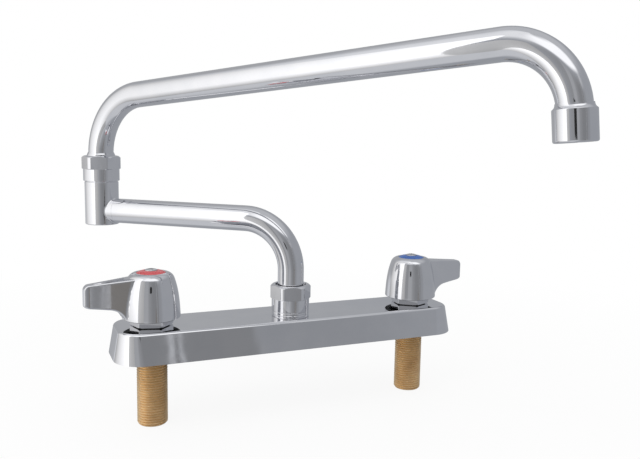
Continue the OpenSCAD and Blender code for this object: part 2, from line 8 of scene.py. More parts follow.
# %% Frame
import json
import math

import bmesh
import bpy
from mathutils import Matrix, Vector


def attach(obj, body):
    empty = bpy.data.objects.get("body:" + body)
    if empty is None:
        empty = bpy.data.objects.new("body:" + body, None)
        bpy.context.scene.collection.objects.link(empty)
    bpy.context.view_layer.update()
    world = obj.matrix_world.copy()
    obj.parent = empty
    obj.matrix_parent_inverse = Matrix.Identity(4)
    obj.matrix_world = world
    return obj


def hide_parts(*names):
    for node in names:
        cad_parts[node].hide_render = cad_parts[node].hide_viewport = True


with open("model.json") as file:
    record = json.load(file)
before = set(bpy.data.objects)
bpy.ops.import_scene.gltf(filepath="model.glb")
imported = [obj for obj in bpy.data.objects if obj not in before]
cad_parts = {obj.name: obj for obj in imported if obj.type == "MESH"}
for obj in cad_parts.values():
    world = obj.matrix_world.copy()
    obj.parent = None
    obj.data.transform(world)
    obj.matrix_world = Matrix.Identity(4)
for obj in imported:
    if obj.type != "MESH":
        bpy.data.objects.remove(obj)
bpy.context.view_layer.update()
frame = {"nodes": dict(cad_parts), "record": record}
MM = 0.001
print("pieces in the frame:", len(frame["nodes"]))

# %% [markdown]
# ## The sizes that the pieces share
# They are the solids' own places and sizes, in millimetres, written once. A piece that is made again
# stands where its solid stands. The two nuts and the swivel body are drawn a little slimmer than their
# solids, as the photo shows them. Blender works in metres, so each helper multiplies by MM.

# %% Shared sizes
VALVE_X = 101.6
DECK_TOP = 20.0
NUT_FOOT = 22.0
TUBE_R = 9.525
TUBE_WALL = 1.2
ARM_TURN = 138.4
ARM_REACH = 160.0
ARM_Z = 88.0
UPPER_NUT_FOOT = 111.2


def heading_at(degrees):
    """A level direction at a bearing."""
    return Vector((math.cos(math.radians(degrees)), math.sin(math.radians(degrees)), 0))


lower_way = heading_at(ARM_TURN)
swivel = ARM_REACH * lower_way
print("swivel stands at", [round(v, 1) for v in swivel])

# %% [markdown]
# ## Helpers for modelling by hand
# Blender's operators act on whatever is selected. So a piece always starts with nothing selected, and its
# faces, edges and points are picked by where they are before an operator runs.

# %% Selecting
def only(piece):
    """Make the piece the one selected, active object."""
    bpy.ops.object.select_all(action="DESELECT")
    piece.select_set(True)
    bpy.context.view_layer.objects.active = piece
    return piece


def begin(name):
    """Name the primitive that was just added, and start to edit it with all of it selected."""
    piece = bpy.context.object
    piece.name = name
    piece.data.name = name
    bpy.ops.object.mode_set(mode="EDIT")
    bpy.ops.mesh.select_mode(type="VERT")
    return piece


def edit(piece):
    """Open the piece for editing, with all of it selected."""
    only(piece)
    bpy.ops.object.mode_set(mode="EDIT")
    bpy.ops.mesh.select_all(action="SELECT")


def end():
    """Close the piece again."""
    bpy.ops.object.mode_set(mode="OBJECT")


def pick(piece, kind, test):
    """Select only the faces, edges or verts whose middle and normal, in millimetres, pass the test."""
    modes = {"verts": "VERT", "edges": "EDGE", "faces": "FACE"}
    bpy.ops.mesh.select_mode(type=modes[kind])
    bpy.ops.mesh.select_all(action="DESELECT")
    mesh = bmesh.from_edit_mesh(piece.data)
    mesh.normal_update()
    found = 0
    for part in getattr(mesh, kind):
        if kind == "verts":
            middle, way = part.co, part.normal
        elif kind == "edges":
            middle = (part.verts[0].co + part.verts[1].co) / 2
            way = (part.verts[1].co - part.verts[0].co).normalized()
        else:
            middle, way = part.calc_center_median(), part.normal
        if test(middle / MM, way):
            part.select_set(True)
            found += 1
    mesh.select_flush_mode()
    bmesh.update_edit_mesh(piece.data)
    return found


# %% [markdown]
# A modifier is applied as soon as it is set, so that the next operator works on what it made. When a piece
# is shaped, what lies folded or doubled is merged. Its normals are then weighted by the size of the faces,
# so that a flat face mirrors as a flat one up to its edge.

# %% Modifiers and smooth faces
def modify(piece, kind, **settings):
    """Add a modifier with these settings and apply it."""
    only(piece)
    modifier = piece.modifiers.new(kind.title(), kind)
    for key, value in settings.items():
        setattr(modifier, key, value)
    bpy.ops.object.modifier_apply(modifier=modifier.name)


def smooth(piece, angle=30):
    """Merge what a bevel or a cut left folded, and shade smooth with the large faces deciding the normals."""
    edit(piece)
    bpy.ops.mesh.remove_doubles(threshold=0.005 * MM)
    bpy.ops.mesh.dissolve_degenerate(threshold=0.005 * MM)
    end()
    only(piece)
    bpy.ops.object.shade_smooth_by_angle(angle=math.radians(angle))
    modify(piece, "WEIGHTED_NORMAL", keep_sharp=True, weight=60)


def settle(piece):
    """Put the piece's place, turn and size in its mesh."""
    only(piece)
    bpy.ops.object.transform_apply(location=True, rotation=True, scale=True)
    return piece


# %% [markdown]
# ## Turning on a lathe
# Nuts, rings, the swivel body and the outlet are turned parts. By hand, such a part is a circle that is
# extruded, scaled and moved once for each point of its outline. A closed outline ends on its first ring,
# and the doubled points are merged.

# %% Lathe
def rings(outline, radius):
    """Extrude the selected ring through the outline's points, each a radius and a height in millimetres."""
    height = outline[0][1]
    for r, z in outline[1:]:
        bpy.ops.mesh.extrude_region_move()
        share = r / radius
        bpy.ops.transform.resize(value=(share, share, 1), center_override=(0, 0, 0))
        bpy.ops.transform.translate(value=(0, 0, (z - height) * MM))
        radius, height = r, z


def turn_piece(name, outline, steps=72, closed=True):
    """A turned part, standing on the origin. An outline that isn't closed gets a cap at each end."""
    bpy.ops.object.select_all(action="DESELECT")
    r, z = outline[0]
    fill = "NOTHING" if closed else "NGON"
    bpy.ops.mesh.primitive_circle_add(vertices=steps, radius=r * MM, fill_type=fill,
                                      location=(0, 0, z * MM))
    settle(bpy.context.object)
    piece = begin(name)
    if closed:
        rings(outline + [outline[0]], r)
        bpy.ops.mesh.select_all(action="SELECT")
        bpy.ops.mesh.remove_doubles(threshold=0.00001)
    else:
        rings(outline, r)
    bpy.ops.mesh.select_all(action="SELECT")
    bpy.ops.mesh.normals_make_consistent(inside=False)
    end()
    return piece


# %% [markdown]
# What repeats is modelled once and copied. A piece is turned and moved to its place, and that place goes
# into its mesh. At the end it gets its finish, the body that it rides on and the solid that it stands for.

# %% Placing, copying and finishing
def place(piece, x, y, z=0, turn=0):
    """Turn the piece about Z, move it, in millimetres and degrees, and settle it."""
    piece.rotation_euler = (0, 0, math.radians(turn))
    piece.location = Vector((x, y, z)) * MM
    return settle(piece)


def copy_piece(piece, name):
    """A copy of a finished piece, with its own mesh."""
    twin = piece.copy()
    twin.data = piece.data.copy()
    twin.name = name
    twin.data.name = name
    bpy.context.scene.collection.objects.link(twin)
    return twin


def finish(piece, body, slot, material, *nodes):
    """Give the piece its finish, the body that it rides on, and the solids that it stands for."""
    piece.data.materials.clear()
    piece.data.materials.append(material)
    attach(piece, body)
    if nodes:
        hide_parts(*nodes)
    print(piece.name, "has", len(piece.data.polygons), "faces")


# %% [markdown]
# ## Chrome
# Polished chrome is a plain mirror with a slightly cool tint. What tells it from a computer's perfect
# mirror is that the casting under the plating is never quite flat, and that fingers and water leave faint
# dull films. So one wide, very low noise bends the mirror, and a finer one moves the roughness a little.

# %% Material helpers
def new_material(name):
    """An empty node material, with its Principled shader."""
    material = bpy.data.materials.new(name)
    material.use_nodes = True
    shader = material.node_tree.nodes["Principled BSDF"]
    return material, material.node_tree.nodes, material.node_tree.links, shader


def noise(nodes, links, scale, detail=2.0, rough=0.5, stretch=(1, 1, 1)):
    """Noise over the object's own coordinates, at so many lumps a metre."""
    where = nodes.new("ShaderNodeTexCoord")
    mapping = nodes.new("ShaderNodeMapping")
    mapping.inputs["Scale"].default_value = stretch
    lumps = nodes.new("ShaderNodeTexNoise")
    lumps.inputs["Scale"].default_value = scale
    lumps.inputs["Detail"].default_value = detail
    lumps.inputs["Roughness"].default_value = rough
    links.new(where.outputs["Object"], mapping.inputs["Vector"])
    links.new(mapping.outputs["Vector"], lumps.inputs["Vector"])
    return lumps.outputs["Fac"]


def between(nodes, links, value, low, high):
    """Spread a value from 0 to 1 over low to high."""
    spread = nodes.new("ShaderNodeMapRange")
    spread.inputs["From Min"].default_value = 0.3
    spread.inputs["From Max"].default_value = 0.7
    spread.inputs["To Min"].default_value = low
    spread.inputs["To Max"].default_value = high
    links.new(value, spread.inputs["Value"])
    return spread.outputs["Result"]


def ramp(nodes, links, value, stops):
    """Colours along a value."""
    colours = nodes.new("ShaderNodeValToRGB")
    band = colours.color_ramp
    while len(band.elements) < len(stops):
        band.elements.new(0.5)
    for element, (position, colour) in zip(band.elements, stops):
        element.position = position
        element.color = (*colour, 1)
    links.new(value, colours.inputs["Fac"])
    return colours.outputs["Color"]


def bump(nodes, links, shader, height, distance):
    """Bend the surface by a height, in metres."""
    relief = nodes.new("ShaderNodeBump")
    relief.inputs["Distance"].default_value = distance
    relief.inputs["Strength"].default_value = 1.0
    links.new(height, relief.inputs["Height"])
    links.new(relief.outputs["Normal"], shader.inputs["Normal"])


# %% Chrome
CHROME = (0.78, 0.78, 0.80)
CHROME_SHADE = (0.74, 0.745, 0.77)


def make_chrome(name, wave, rough):
    """Chrome over a surface that waves by so many metres."""
    material, nodes, links, shader = new_material(name)
    shader.inputs["Metallic"].default_value = 1.0
    tint = ramp(nodes, links, noise(nodes, links, 60, 3), [(0.35, CHROME), (0.7, CHROME_SHADE)])
    links.new(tint, shader.inputs["Base Color"])
    film = between(nodes, links, noise(nodes, links, 140, 5, 0.65), rough * 0.7, rough * 1.5)
    links.new(film, shader.inputs["Roughness"])
    bump(nodes, links, shader, noise(nodes, links, 38, 1), wave)
    return material


chrome = make_chrome("chrome", 0.00006, 0.05)
cast_chrome = make_chrome("cast_chrome", 0.00008, 0.035)
print("chrome tint", CHROME)

# %% [markdown]
# ## Brass
# The shanks are bare turned brass: warm and a little dull, with tool marks round the thread and darker
# patches where it was handled. They are slightly less metallic than chrome, so they keep their colour
# under a white sky.

# %% Brass
def make_brass(name, light, dark, rough, metallic=1.0):
    """Turned brass in two tones, with fine marks round it."""
    material, nodes, links, shader = new_material(name)
    shader.inputs["Metallic"].default_value = metallic
    patches = noise(nodes, links, 90, 4, 0.6)
    links.new(ramp(nodes, links, patches, [(0.3, dark), (0.62, light)]), shader.inputs["Base Color"])
    dull = between(nodes, links, noise(nodes, links, 300, 3), rough * 0.8, rough * 1.3)
    links.new(dull, shader.inputs["Roughness"])
    marks = noise(nodes, links, 400, 2, 0.5, (0.05, 0.05, 12))
    bump(nodes, links, shader, marks, 0.00003)
    return material


shank_brass = make_brass("shank_brass", (0.90, 0.68, 0.41), (0.80, 0.57, 0.32), 0.42, 0.9)
inner_brass = make_brass("inner_brass", (0.76, 0.60, 0.34), (0.66, 0.50, 0.26), 0.25)
print("brass:", shank_brass.name, "and", inner_brass.name)

# %% [markdown]
# ## Plastics, rubber, ceramic and steel
# The small pieces have plain finishes, each with the fine unevenness of its kind.

# %% Small finishes
def make_plain(name, colour, shade, rough, metallic=0.0, scale=200, relief=0.00002):
    """A plain finish in two close tones, with a fine grain."""
    material, nodes, links, shader = new_material(name)
    shader.inputs["Metallic"].default_value = metallic
    lumps = noise(nodes, links, scale, 3)
    links.new(ramp(nodes, links, lumps, [(0.35, colour), (0.7, shade)]), shader.inputs["Base Color"])
    links.new(between(nodes, links, lumps, rough * 0.85, rough * 1.2), shader.inputs["Roughness"])
    bump(nodes, links, shader, noise(nodes, links, scale * 2, 2), relief)
    return material


finishes = {
    "chrome": chrome,
    "shank_brass": shank_brass,
    "inner_brass": inner_brass,
    "rubber": make_plain("rubber", (0.05, 0.05, 0.055), (0.07, 0.07, 0.07), 0.6),
    "ceramic": make_plain("ceramic", (0.93, 0.92, 0.88), (0.88, 0.87, 0.83), 0.2),
    "bearing_plastic": make_plain("bearing_plastic", (0.88, 0.86, 0.80), (0.84, 0.82, 0.76), 0.45),
    "index_red": make_plain("index_red", (0.60, 0.09, 0.10), (0.54, 0.075, 0.085), 0.2),
    "index_blue": make_plain("index_blue", (0.04, 0.13, 0.43), (0.035, 0.11, 0.38), 0.2),
    "screw_steel": make_plain("screw_steel", (0.72, 0.72, 0.73), (0.66, 0.66, 0.67), 0.14, 1.0),
    "insert_plastic": make_plain("insert_plastic", (0.80, 0.80, 0.78), (0.74, 0.74, 0.72), 0.4),
    "screen_steel": make_plain("screen_steel", (0.55, 0.55, 0.56), (0.45, 0.45, 0.46), 0.35, 1.0),
}
slot_of = {part["node"]: part["material_slot"] for part in frame["record"]["subparts"]}
for name, node in frame["nodes"].items():
    node.data.materials.clear()
    node.data.materials.append(finishes[slot_of[name]])
print("finishes:", ", ".join(finishes))

# %% [markdown]
# ## The spout tubes
# A spout is one drawn tube, bent round formers. By hand it is a ring of points that is moved along for
# each straight stretch and spun for each bend. Only the ring's path matters, so the two tubes share one
# helper.

# %% Bent tubes
def bent_tube(name, start, heading, stretches, steps=48):
    """A tube from start along heading. Each stretch is a length, or a bend's radius, turn and axis."""
    bpy.ops.object.select_all(action="DESELECT")
    lie = Vector(heading).to_track_quat("Z", "Y").to_euler()
    bpy.ops.mesh.primitive_circle_add(vertices=steps, radius=TUBE_R * MM, location=Vector(start) * MM,
                                      rotation=lie)
    settle(bpy.context.object)
    piece = begin(name)
    place_now = Vector(start)
    heading = Vector(heading)
    for stretch in stretches:
        if len(stretch) == 1:
            bpy.ops.mesh.extrude_region_move()
            step = heading * stretch[0]
            bpy.ops.transform.translate(value=step * MM)
            place_now = place_now + step
        else:
            bend_r, turn, axis = stretch
            axis = Vector(axis).normalized()
            middle = place_now + axis.cross(heading).normalized() * bend_r
            bpy.ops.mesh.spin(steps=max(6, int(turn / 2.5)), angle=-math.radians(turn), center=middle * MM,
                              axis=axis)
            swing = Matrix.Rotation(math.radians(turn), 3, axis)
            place_now = middle + swing @ (place_now - middle)
            heading = swing @ heading
    bpy.ops.mesh.select_all(action="SELECT")
    bpy.ops.mesh.remove_doubles(threshold=0.00001)
    bpy.ops.mesh.normals_make_consistent(inside=False)
    end()
    modify(piece, "SOLIDIFY", thickness=TUBE_WALL * MM, offset=-1)
    smooth(piece, 40)
    print(name, "ends at", [round(v, 1) for v in place_now])
    return piece, place_now, heading


# %% Lower tube
LOWER_BEND_R = 36.3
INTO_SWIVEL = 5.2
lower_side = Vector((0, 0, 1)).cross(lower_way)
lower_run = ARM_REACH - LOWER_BEND_R - INTO_SWIVEL
lower_stretches = [(18.7,), (LOWER_BEND_R, 90, lower_side), (lower_run,)]
lower_tube = bent_tube("lower_spout_tube", (0, 0, 33.0), (0, 0, 1), lower_stretches)[0]
finish(lower_tube, "lower_arm", "chrome", chrome, "lower_tube")

# %% Upper tube
UPPER_TURN = -56.0
INTO_OUTLET = 4.9
upper_side = Vector((0, 0, 1)).cross(heading_at(UPPER_TURN))
upper_start = (swivel.x, swivel.y, 122.3)
upper_stretches = [(9.3,), (46.2, 85.1, upper_side), (277.2,), (38.1, 89.5, upper_side), (INTO_OUTLET,)]
upper_tube, outlet_end, outlet_way = bent_tube("upper_spout_tube", upper_start, (0, 0, 1), upper_stretches)
outlet_start = outlet_end - outlet_way * INTO_OUTLET
finish(upper_tube, "upper_arm", "chrome", chrome, "upper_tube")

# %% [markdown]
# ## Joining and cutting
# Parts that are cut from solid stock are easiest from two simple shapes: one is added to, cut from or kept
# inside the other by a Boolean, and the tool is thrown away. A fine bevel then breaks the sharp edges,
# because an edge that is perfectly sharp catches no light.

# %% Booleans and edges
EDGE_ANGLE = 28


def combine(piece, tool, operation, solver="EXACT"):
    """UNION, DIFFERENCE or INTERSECT of the piece with a tool, which is used up."""
    modify(piece, "BOOLEAN", object=tool, operation=operation, solver=solver)
    bpy.data.objects.remove(tool)


def break_edges(piece, width):
    """A fine bevel on each edge that turns sharply."""
    modify(piece, "BEVEL", width=width * MM, segments=2, limit_method="ANGLE",
           angle_limit=math.radians(EDGE_ANGLE), use_clamp_overlap=True, harden_normals=False)


def prism(name, flats, foot, head, corner_at):
    """A hexagon bar between two heights, with one corner at a bearing in degrees."""
    bpy.ops.object.select_all(action="DESELECT")
    bpy.ops.mesh.primitive_cylinder_add(vertices=6, radius=flats / 2 / math.cos(math.pi / 6) * MM,
                                        depth=(head - foot) * MM, location=(0, 0, (foot + head) / 2 * MM),
                                        rotation=(0, 0, math.radians(corner_at - 90)))
    bpy.context.object.name = name
    return settle(bpy.context.object)


# %% [markdown]
# ## Swivel nuts
# Both nuts are one shape: a hexagon whose corners are turned down, with a domed chamfer above, over a
# round skirt. The hexagon bar is kept inside a turned ring, which draws the curved edge that a lathe
# leaves on each flat, and the skirt is added to it.

# %% Nuts
NUT_FLATS = 27
NUT_TURN = 45.5
nut_outline = [(11.2, 9), (13.6, 9), (14.75, 9.6), (14.75, 18.1), (14.3, 18.6), (13.5, 19.25), (12.5, 19.6),
               (11.6, 19.6), (11.2, 19.3)]
nut = turn_piece("spout_nut_hex", nut_outline, 96)
combine(nut, prism("hex_bar", NUT_FLATS, 8, 21, NUT_TURN), "INTERSECT")
skirt = turn_piece("skirt", [(12.2, 0), (13.3, 0), (13.65, 0.15), (13.8, 0.5), (13.8, 9.3), (12.2, 9.3)], 96)
combine(nut, skirt, "UNION")
break_edges(nut, 0.22)
smooth(nut, 40)
swivel_nut = place(copy_piece(nut, "swivel_nut_hex"), swivel.x, swivel.y, UPPER_NUT_FOOT)
place(nut, 0, 0, NUT_FOOT)
finish(nut, "deck", "chrome", chrome, "spout_nut")
finish(swivel_nut, "lower_arm", "chrome", chrome, "swivel_nut")

# %% [markdown]
# ## Swivel body
# A round post with a blind bore. The lower tube is brazed in its side, so a short sleeve is added there
# and the edge where they meet gets the small round fillet that the braze leaves.

# %% Swivel body
POST_R = 12.9
SLEEVE_R = 9.62
post_outline = [(12.1, 77), (12.6, 77.15), (12.8, 77.4), (POST_R, 77.8), (POST_R, 110.1), (12.8, 110.4),
                (12.6, 110.6), (12.1, 110.6), (12.1, 120.4), (11.8, 120.7), (9.9, 120.7), (9.55, 120.4),
                (9.55, 104), (8.65, 103.2), (8.65, 80.5)]
post = turn_piece("swivel_post", post_outline, 96, closed=False)
sleeve = turn_piece("sleeve", [(SLEEVE_R, 0), (SLEEVE_R, 14.4), (9.35, 14.6)], 72, closed=False)
sleeve.rotation_euler = (-lower_way).to_track_quat("Z", "Y").to_euler()
sleeve.location = (0, 0, ARM_Z * MM)
settle(sleeve)
combine(post, sleeve, "UNION")


def at_braze(middle, way):
    """The edge where the sleeve leaves the post."""
    from_post = math.hypot(middle.x, middle.y)
    along = -(middle.x * lower_way.x + middle.y * lower_way.y)
    beside = middle.x * lower_side.x + middle.y * lower_side.y
    from_tube = math.hypot(beside, middle.z - ARM_Z)
    return along > 5 and abs(from_post - POST_R) < 0.15 and abs(from_tube - SLEEVE_R) < 0.2


edit(post)
found = pick(post, "edges", at_braze)
bpy.ops.mesh.bevel(offset=0.9 * MM, segments=4, affect="EDGES")
end()
print("braze edges", found)
smooth(post, 40)
place(post, swivel.x, swivel.y)
finish(post, "lower_arm", "chrome", chrome, "swivel_body")

# %% [markdown]
# ## Outlet
# The outlet is turned: a concave flare where it leaves the tube, a straight wall and a small round lip. It
# is turned upright and then laid along the tube's end.

# %% Outlet
outlet_outline = [(9.75, -3), (10.03, -3), (10.08, -2.2), (10.3, -1.4), (10.75, -0.7), (11.3, -0.2),
                  (11.62, 0.05), (11.75, 0.4), (11.75, 16.2), (11.6, 16.85), (11.2, 17.25), (10.55, 17.4),
                  (10.1, 17.4), (9.8, 17.1), (9.8, 5), (9.75, 5)]
outlet = turn_piece("outlet_shell", outlet_outline, 96)
outlet.rotation_euler = outlet_way.to_track_quat("Z", "Y").to_euler()
outlet.location = outlet_start * MM
settle(outlet)
smooth(outlet, 40)
finish(outlet, "upper_arm", "chrome", chrome, "outlet_body")

# %% [markdown]
# ## Nipples
# Each tube ends in a turned nipple that swivels in its bore. All that shows is the collar in the nut's
# hole, and on the upper one a short cone above it. The rest is turned too, so that the joint is whole when
# it is opened.

# %% Nipples
def nipple(name, cone):
    """A nipple with its collar, and what stands above the nut as a cone."""
    outline = [(7.6, -7.5), (8.9, -7.5), (9.5, -6.9), (9.5, 10.35), (11.8, 10.35), (11.8, 14.6),
               (10.8, 14.6)]
    outline = outline + cone + [(9.6, cone[-1][1]), (9.6, 10.95), (7.6, 10.95)]
    return turn_piece(name, outline, 72)


lower_nipple = place(nipple("lower_nipple_collar", [(10.8, 16.4), (9.9, 17.2)]), 0, 0, NUT_FOOT)
smooth(lower_nipple, 40)
finish(lower_nipple, "lower_arm", "chrome", chrome, "lower_nipple")
cone = [(10.8, 19.9), (10.5, 20.6), (10.0, 21.7), (9.9, 22.2)]
upper_nipple = place(nipple("upper_nipple_cone", cone), swivel.x, swivel.y, UPPER_NUT_FOOT)
smooth(upper_nipple, 40)
finish(upper_nipple, "upper_arm", "chrome", chrome, "upper_nipple")

# %% [markdown]
# ## Bonnets
# The bonnet is the brass fitting that closes the valve, plated where it shows. Its hexagon is smaller than
# the nuts' and stands at whatever turn it was tightened to, so the two differ.

# %% Bonnets
BONNET_FLATS = 25.4
HOT_BONNET_TURN = -14.5
COLD_BONNET_TURN = 23.5
bonnet_outline = [(4.8, 20.6), (13.9, 20.6), (14.57, 21), (14.57, 28.1), (13.4, 28.8), (12.7, 29), (8.15, 29),
                  (8.15, 32.6), (7.8, 33), (5.2, 33), (4.8, 32.6)]
barrel_outline = [(6.8, 6.7), (8.5, 6.7), (8.5, 14.8), (10.4, 14.8), (10.4, 20.8), (4.8, 20.8), (4.8, 16.2),
                (6.8, 16.2)]
bonnet = turn_piece("bonnet_hex", bonnet_outline, 96)
cold_bonnet = copy_piece(bonnet, "cold_bonnet_hex")
bonnet.name = "hot_bonnet_hex"
for piece, corner_at, x, solid in ((bonnet, HOT_BONNET_TURN, -VALVE_X, "hot_bonnet"),
                                   (cold_bonnet, COLD_BONNET_TURN, VALVE_X, "cold_bonnet")):
    combine(piece, prism("hex_bar", BONNET_FLATS, 20, 34, corner_at), "INTERSECT")
    combine(piece, turn_piece("thread", barrel_outline, 96), "UNION")
    break_edges(piece, 0.2)
    smooth(piece, 40)
    place(piece, x, 0)
    finish(piece, "deck", "chrome", chrome, solid)

# %% [markdown]
# ## Index rings and handle screws
# The coloured ring is moulded and shines. Its top is a low dome that ends under the screw's head. The head
# is a polished dome with a cross recess.

# %% Index rings
ring_outline = [(2.3, 53.4), (9.6, 53.4), (9.8, 53.6), (9.8, 55.9), (9.68, 56.2), (9.3, 56.45), (8.2, 56.95),
                (6.9, 57.35), (5.6, 57.6), (4.5, 57.68), (4.35, 57.5), (4.35, 55.4), (2.3, 55.4)]
ring = turn_piece("hot_index", ring_outline, 72)
smooth(ring, 40)
cold_ring = place(copy_piece(ring, "cold_index"), VALVE_X, 0)
place(ring, -VALVE_X, 0)
finish(ring, "hot_handle", "index_red", finishes["index_red"], "hot_index_ring")
finish(cold_ring, "cold_handle", "index_blue", finishes["index_blue"], "cold_index_ring")

# %% Handle screws
HEAD_R = 4.25
HEAD_EDGE = 57.9
DOME = 0.85
dome = [(HEAD_R * math.cos(a), HEAD_EDGE + DOME * math.sin(a)) for a in (0, 0.25, 0.5, 0.75, 1.0, 1.25, 1.45)]
shaft = [(1.6, 43.4), (2.0, 43.8), (2.0, 55.4), (4.2, 55.4), (HEAD_R, 55.5)]
screw = turn_piece("hot_screw", shaft + dome, 48, closed=False)
for turn in (20, 110):
    bpy.ops.object.select_all(action="DESELECT")
    bpy.ops.mesh.primitive_cube_add(size=1, location=(0, 0, 58.9 * MM), rotation=(0, 0, math.radians(turn)),
                                    scale=(4.2 * MM, 0.8 * MM, 2.2 * MM))
    combine(screw, settle(bpy.context.object), "DIFFERENCE")
break_edges(screw, 0.12)
smooth(screw, 40)
cold_screw = place(copy_piece(screw, "cold_screw"), VALVE_X, 0, 0, 35)
place(screw, -VALVE_X, 0)
finish(screw, "hot_handle", "screw_steel", finishes["screw_steel"], "hot_handle_screw")
finish(cold_screw, "cold_handle", "screw_steel", finishes["screw_steel"], "cold_handle_screw")

# %% [markdown]
# ## The deck casting
# The deck is one hollow casting with drafted sides. Its outline starts as a flat sheet with round corners.
# One inset that also lifts makes the drafted wall, so the corners tighten towards the top just as a
# pattern maker draws them. Then the top edge is rounded.

# %% Deck shell
DECK_HALF_LONG = 129.0
DECK_HALF_WIDE = 29.3
SIDE_DRAFT = 5.7
END_DRAFT = 3.4
PLAN_CORNER_R = 20
TOP_EDGE = 1.75
bpy.ops.object.select_all(action="DESELECT")
bpy.ops.mesh.primitive_plane_add(size=1, location=(0, 0, 0), scale=(1, 1, 1))
bpy.context.object.scale = (2 * DECK_HALF_LONG * MM, 2 * DECK_HALF_WIDE * MM, 1)
settle(bpy.context.object)
deck = begin("deck_casting")
bpy.ops.mesh.select_all(action="SELECT")
bpy.ops.mesh.bevel(offset=PLAN_CORNER_R * MM, segments=16, affect="VERTICES")
pick(deck, "faces", lambda middle, way: True)
bpy.ops.mesh.inset(thickness=SIDE_DRAFT * MM, depth=DECK_TOP * MM)
for side in (-1, 1):
    pick(deck, "verts", lambda middle, way: middle.z > 19 and middle.x * side > 100)
    bpy.ops.transform.translate(value=(side * (SIDE_DRAFT - END_DRAFT) * MM, 0, 0))
pick(deck, "faces", lambda middle, way: middle.z > 19.9)
bpy.ops.mesh.region_to_loop()
bpy.ops.mesh.bevel(offset=TOP_EDGE * MM, segments=6, affect="EDGES")
end()
print("deck outline has", len(deck.data.vertices), "points")

# %% [markdown]
# Below, the casting is open, and its inner side is left as it was cast: grey, grainy and dull.

# %% Raw casting
raw_casting, nodes, links, shader = new_material("raw_casting")
shader.inputs["Metallic"].default_value = 0.9
grain = noise(nodes, links, 700, 4, 0.6)
greys = ramp(nodes, links, grain, [(0.3, (0.20, 0.20, 0.205)), (0.7, (0.32, 0.32, 0.33))])
links.new(greys, shader.inputs["Base Color"])
links.new(between(nodes, links, grain, 0.5, 0.7), shader.inputs["Roughness"])
bump(nodes, links, shader, grain, 0.0002)
print("finish:", raw_casting.name)

# %% [markdown]
# A Solidify gives the sheet its wall. On a slanted wall it also pushes the inner foot below the outer one,
# so those points are made level again. The bosses, the gallery between the valves and the neck are turned
# parts that are joined to the shell, and the bores are cut through them last.

# %% Deck wall
DECK_WALL = 3
deck.data.materials.append(cast_chrome)
deck.data.materials.append(raw_casting)
modify(deck, "SOLIDIFY", thickness=DECK_WALL * MM, offset=-1, use_even_offset=True, material_offset=1)
edit(deck)
print("foot points made level", pick(deck, "verts", lambda middle, way: middle.z < -0.1))
bpy.ops.transform.resize(value=(1, 1, 0), center_override=(0, 0, 0))
end()

# %% Deck bosses
GALLERY_R = 6
GALLERY_Z = 11
valve_boss = [(15, 0.2), (15, 17.5)]
spout_boss = [(13.2, 0), (13.5, 0.4), (13.5, 17.5)]
for x, outline in ((-VALVE_X, valve_boss), (VALVE_X, valve_boss), (0, spout_boss)):
    boss = turn_piece("boss", outline, 72, closed=False)
    boss.data.materials.append(raw_casting)
    place(boss, x, 0)
    combine(deck, boss, "UNION")
gallery = turn_piece("gallery", [(GALLERY_R, -VALVE_X), (GALLERY_R, VALVE_X)], 48, closed=False)
gallery.data.materials.append(raw_casting)
gallery.rotation_euler = (0, math.pi / 2, 0)
gallery.location = (0, 0, GALLERY_Z * MM)
settle(gallery)
combine(deck, gallery, "UNION")
neck_outline = [(13.9, 19), (13.9, 20.1), (13.72, 20.3), (13.7, 21.7), (13.5, 22), (12.1, 22), (12.1, 31.2),
                (11.8, 31.5)]
neck = turn_piece("neck", neck_outline, 96, closed=False)
neck.data.materials.append(cast_chrome)
combine(deck, neck, "UNION")
print("deck with its bosses has", len(deck.data.polygons), "faces")

# %% Deck bores
bores = [(0, [(8.9, 6.5), (8.9, 14), (9.55, 14.01), (9.55, 40)])]
for x in (-VALVE_X, VALVE_X):
    bores.append((x, [(9.65, -1), (9.65, 5.5), (5.6, 5.51), (5.6, 6.5), (10.5, 6.51), (10.5, 30)]))
for x, outline in bores:
    bore = turn_piece("bore", outline, 72, closed=False)
    bore.data.materials.append(raw_casting)
    place(bore, x, 0)
    combine(deck, bore, "DIFFERENCE")
smooth(deck, 35)
print("deck finishes:", [m.name for m in deck.data.materials])
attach(deck, "deck")
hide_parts("deck_body")

# %% [markdown]
# ## Shanks
# Each shank has a real pipe thread, 14 turns to the inch. Its tooth is a short zigzag that a Screw
# modifier winds up the shank. The turns are welded and the coil is cut level at both ends, past where it
# is whole all round, so that it is a closed bar. Keeping that inside a turned bar with a chamfer gives it
# clean ends.

# %% Thread tooth
PITCH = 25.4 / 14
SHANK_R = 10.45
ROOT_R = 9.4
bpy.ops.object.select_all(action="DESELECT")
bpy.ops.mesh.primitive_plane_add(size=1, rotation=(math.pi / 2, 0, 0), location=(0, 0, 0))
bpy.context.object.scale = ((SHANK_R - ROOT_R) * MM, PITCH * MM, 1)
bpy.context.object.location = ((SHANK_R + ROOT_R) / 2 * MM, 0, PITCH / 2 * MM)
settle(bpy.context.object)
shank = begin("hot_shank_thread")
pick(shank, "verts", lambda middle, way: middle.x > SHANK_R - 0.1)
bpy.ops.transform.resize(value=(1, 1, 0.14), center_override=(0, 0, PITCH / 2 * MM))
bpy.ops.mesh.select_mode(type="FACE")
bpy.ops.mesh.select_all(action="SELECT")
bpy.ops.mesh.delete(type="ONLY_FACE")
pick(shank, "edges", lambda middle, way: middle.x < ROOT_R + 0.1)
bpy.ops.mesh.delete(type="EDGE")
end()
print("thread tooth has", len(shank.data.edges), "edges")

